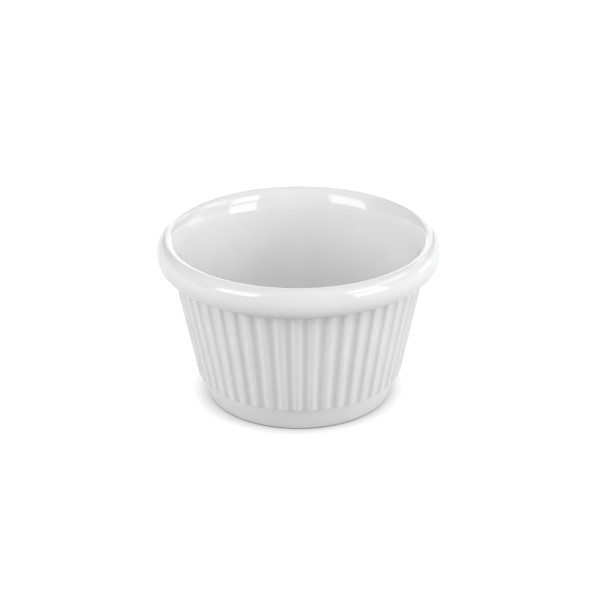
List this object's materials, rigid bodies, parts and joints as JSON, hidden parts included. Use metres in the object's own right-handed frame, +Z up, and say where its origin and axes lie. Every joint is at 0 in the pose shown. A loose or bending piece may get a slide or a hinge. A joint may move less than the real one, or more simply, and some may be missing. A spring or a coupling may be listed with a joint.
{
  "type": "ramekin",
  "caption": "Small round ramekin with a thick rolled rim, a tapered wall with raised upright ribs and a plain foot band. It holds a portion of sauce, dip or dessert.",
  "frame": {"origin": "centre of the base, on the surface that the ramekin stands on", "axes": "+Z up along the cup's axis; a rib faces -Y, the front"},
  "size_m": [0.066, 0.066, 0.0396],
  "materials": {
    "white_melamine": "glossy moulded white, smooth"
  },
  "bodies": {
    "root": {"ramekin_body": "white_melamine"}
  },
  "joints": []
}
